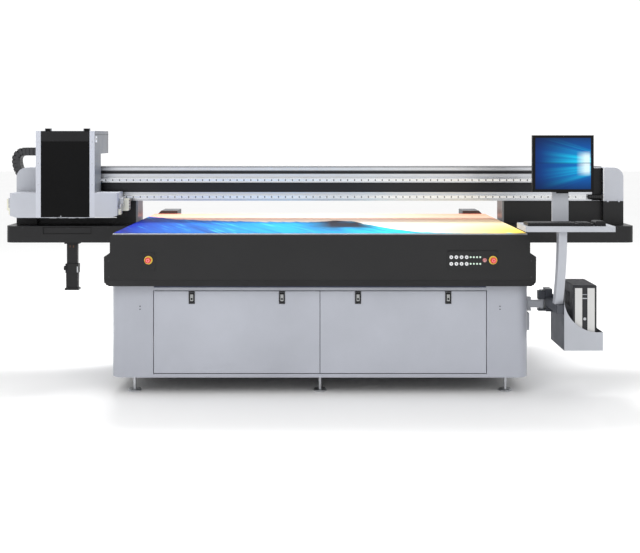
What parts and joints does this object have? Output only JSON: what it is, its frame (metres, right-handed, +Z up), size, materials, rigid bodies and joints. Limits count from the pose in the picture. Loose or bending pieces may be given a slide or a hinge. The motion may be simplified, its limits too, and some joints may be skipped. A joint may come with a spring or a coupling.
{
  "type": "flatbed uv printer",
  "caption": "Large flatbed UV printer: cabinet base with vacuum table, travelling gantry, print head carriage and a side operator station.",
  "frame": {"origin": "sole of the middle levelling foot, on the floor at the machine's centre plane", "axes": "+X to the operator's right (longest), +Y to the back, +Z up"},
  "size_m": [4.526, 2.03, 1.695],
  "materials": {
    "frame_steel": "powder coat, satin",
    "cabinet_grey": "powder coat, light texture",
    "black_sheet": "powder coat, satin black",
    "dark_grey_sheet": "powder coat, satin",
    "beam_alloy": "clear anodised extrusion",
    "table_alloy": "hard anodised",
    "board": "printed sheet",
    "rail_steel": "ground",
    "foot_steel": "zinc plated",
    "white_ring": "gloss",
    "lamp_lens": "clear lens",
    "estop_red": "gloss",
    "estop_yellow": "gloss",
    "black_plastic": "fine texture",
    "light_plastic": "satin",
    "gloss_black": "piano black",
    "head_grey": "satin",
    "lamp_grey": "satin",
    "head_metal": "machined",
    "station_grey": "satin",
    "station_dark": "satin",
    "screen": "gloss"
  },
  "bodies": {
    "base": {"base_frame": "frame_steel", "levelling_feet": "foot_steel", "corner_panels": "cabinet_grey", "side_panels": "cabinet_grey", "rear_panel": "cabinet_grey", "door_surround": "cabinet_grey", "fascia": "black_sheet", "skirt_sides": "black_sheet", "rear_skirt": "dark_grey_sheet", "vacuum_table": "table_alloy", "printed_board": "board", "y_rails": "rail_steel", "y_motors": "black_plastic", "control_plate": "dark_grey_sheet", "button_housings": "white_ring", "panel_lamps": "lamp_lens", "estop_collars": "estop_yellow", "side_bracket": "station_grey", "vacuum_pump": "dark_grey_sheet", "control_box": "cabinet_grey"},
    "gantry": {"gantry_beam": "beam_alloy", "x_rails": "rail_steel", "end_caps": "lamp_grey", "upper_boxes": "black_sheet", "lower_boxes": "black_sheet", "uprights": "dark_grey_sheet", "saddles": "beam_alloy", "chain_trough": "beam_alloy", "service_post": "black_sheet"},
    "carriage": {"carriage_plate": "head_metal", "x_chain": "black_plastic"},
    "head": {"head_shell": "head_grey", "uv_lamps": "lamp_grey", "printheads": "head_metal"},
    "cover": {"front_cover": "gloss_black"},
    "arm": {"swing_arm": "station_grey"},
    "station": {"station_column": "station_grey", "pc_holder": "station_grey", "pc_case": "black_plastic", "keyboard_tray": "station_grey", "keyboard_mouse": "black_plastic"},
    "screen": {"monitor": "screen"},
    "door_l": {"door_left": "cabinet_grey"},
    "door_r": {"door_right": "cabinet_grey"},
    "screw_l": {"y_screw_left": "rail_steel"},
    "screw_r": {"y_screw_right": "rail_steel"},
    "estop_l": {"estop_left": "estop_red"},
    "estop_r": {"estop_right": "estop_red"},
    "push_1": {"button_1": "light_plastic"},
    "push_2": {"button_2": "light_plastic"},
    "push_3": {"button_3": "light_plastic"},
    "push_4": {"button_4": "light_plastic"},
    "push_5": {"button_5": "light_plastic"},
    "push_6": {"button_6": "light_plastic"},
    "push_7": {"button_7": "light_plastic"},
    "push_8": {"button_8": "light_plastic"},
    "paddle_1": {"latch_paddle_1": "black_plastic"},
    "paddle_2": {"latch_paddle_2": "black_plastic"},
    "paddle_3": {"latch_paddle_3": "black_plastic"},
    "paddle_4": {"latch_paddle_4": "black_plastic"}
  },
  "joints": [
    {"name": "gantry_travel", "type": "slide", "parent": "base", "child": "gantry", "axis": [0, 1, 0], "range_m": [-0.66, 0.53]},
    {"name": "carriage_travel", "type": "slide", "parent": "gantry", "child": "carriage", "axis": [1, 0, 0], "range_m": [0, 3.5]},
    {"name": "head_lift", "type": "slide", "parent": "carriage", "child": "head", "axis": [0, 0, 1], "range_m": [-0.025, 0.05]},
    {"name": "cover_hinge", "type": "hinge", "parent": "head", "child": "cover", "pos_m": [-1.784, -0.152, 1.687], "axis": [-1, 0, 0], "range_deg": [0, 100]},
    {"name": "screw_left_spin", "type": "hinge", "parent": "base", "child": "screw_l", "pos_m": [-1.262, 0, 0.915], "axis": [0, 1, 0], "range_deg": [-6200, 5000]},
    {"name": "screw_right_spin", "type": "hinge", "parent": "base", "child": "screw_r", "pos_m": [1.262, 0, 0.915], "axis": [0, 1, 0], "range_deg": [-6200, 5000]},
    {"name": "arm_swing", "type": "hinge", "parent": "base", "child": "arm", "pos_m": [1.352, -0.655, 0.552], "axis": [0, 0, 1], "range_deg": [-15, 15]},
    {"name": "station_turn", "type": "hinge", "parent": "arm", "child": "station", "pos_m": [1.44, -0.655, 0.552], "axis": [0, 0, 1], "range_deg": [-12, 12]},
    {"name": "screen_tilt", "type": "hinge", "parent": "station", "child": "screen", "pos_m": [1.5, -0.922, 1.37], "axis": [-1, 0, 0], "range_deg": [-5, 15]},
    {"name": "door_left_hinge", "type": "hinge", "parent": "base", "child": "door_l", "pos_m": [-0.527, -0.807, 0.146], "axis": [1, 0, 0], "range_deg": [0, 90]},
    {"name": "door_right_hinge", "type": "hinge", "parent": "base", "child": "door_r", "pos_m": [0.527, -0.807, 0.146], "axis": [1, 0, 0], "range_deg": [0, 90]},
    {"name": "estop_left_push", "type": "slide", "parent": "base", "child": "estop_l", "axis": [0, 1, 0], "range_m": [0, 0.006], "stiffness_N_per_m": 1500},
    {"name": "estop_right_push", "type": "slide", "parent": "base", "child": "estop_r", "axis": [0, 1, 0], "range_m": [0, 0.006], "stiffness_N_per_m": 1500},
    {"name": "button_1_push", "type": "slide", "parent": "base", "child": "push_1", "axis": [0, 1, 0], "range_m": [0, 0.003], "stiffness_N_per_m": 800},
    {"name": "button_2_push", "type": "slide", "parent": "base", "child": "push_2", "axis": [0, 1, 0], "range_m": [0, 0.003], "stiffness_N_per_m": 800},
    {"name": "button_3_push", "type": "slide", "parent": "base", "child": "push_3", "axis": [0, 1, 0], "range_m": [0, 0.003], "stiffness_N_per_m": 800},
    {"name": "button_4_push", "type": "slide", "parent": "base", "child": "push_4", "axis": [0, 1, 0], "range_m": [0, 0.003], "stiffness_N_per_m": 800},
    {"name": "button_5_push", "type": "slide", "parent": "base", "child": "push_5", "axis": [0, 1, 0], "range_m": [0, 0.003], "stiffness_N_per_m": 800},
    {"name": "button_6_push", "type": "slide", "parent": "base", "child": "push_6", "axis": [0, 1, 0], "range_m": [0, 0.003], "stiffness_N_per_m": 800},
    {"name": "button_7_push", "type": "slide", "parent": "base", "child": "push_7", "axis": [0, 1, 0], "range_m": [0, 0.003], "stiffness_N_per_m": 800},
    {"name": "button_8_push", "type": "slide", "parent": "base", "child": "push_8", "axis": [0, 1, 0], "range_m": [0, 0.003], "stiffness_N_per_m": 800},
    {"name": "latch_1_pull", "type": "hinge", "parent": "door_l", "child": "paddle_1", "pos_m": [-0.813, -0.8165, 0.643], "axis": [-1, 0, 0], "range_deg": [0, 40], "stiffness_Nm_per_rad": 0.3},
    {"name": "latch_2_pull", "type": "hinge", "parent": "door_l", "child": "paddle_2", "pos_m": [-0.241, -0.8165, 0.643], "axis": [-1, 0, 0], "range_deg": [0, 40], "stiffness_Nm_per_rad": 0.3},
    {"name": "latch_3_pull", "type": "hinge", "parent": "door_r", "child": "paddle_3", "pos_m": [0.241, -0.8165, 0.643], "axis": [-1, 0, 0], "range_deg": [0, 40], "stiffness_Nm_per_rad": 0.3},
    {"name": "latch_4_pull", "type": "hinge", "parent": "door_r", "child": "paddle_4", "pos_m": [0.813, -0.8165, 0.643], "axis": [-1, 0, 0], "range_deg": [0, 40], "stiffness_Nm_per_rad": 0.3}
  ],
  "couplings": [
    {"joint": "screw_left_spin", "follows": "gantry_travel", "rad_per_m": 157.08},
    {"joint": "screw_right_spin", "follows": "gantry_travel", "rad_per_m": 157.08}
  ]
}
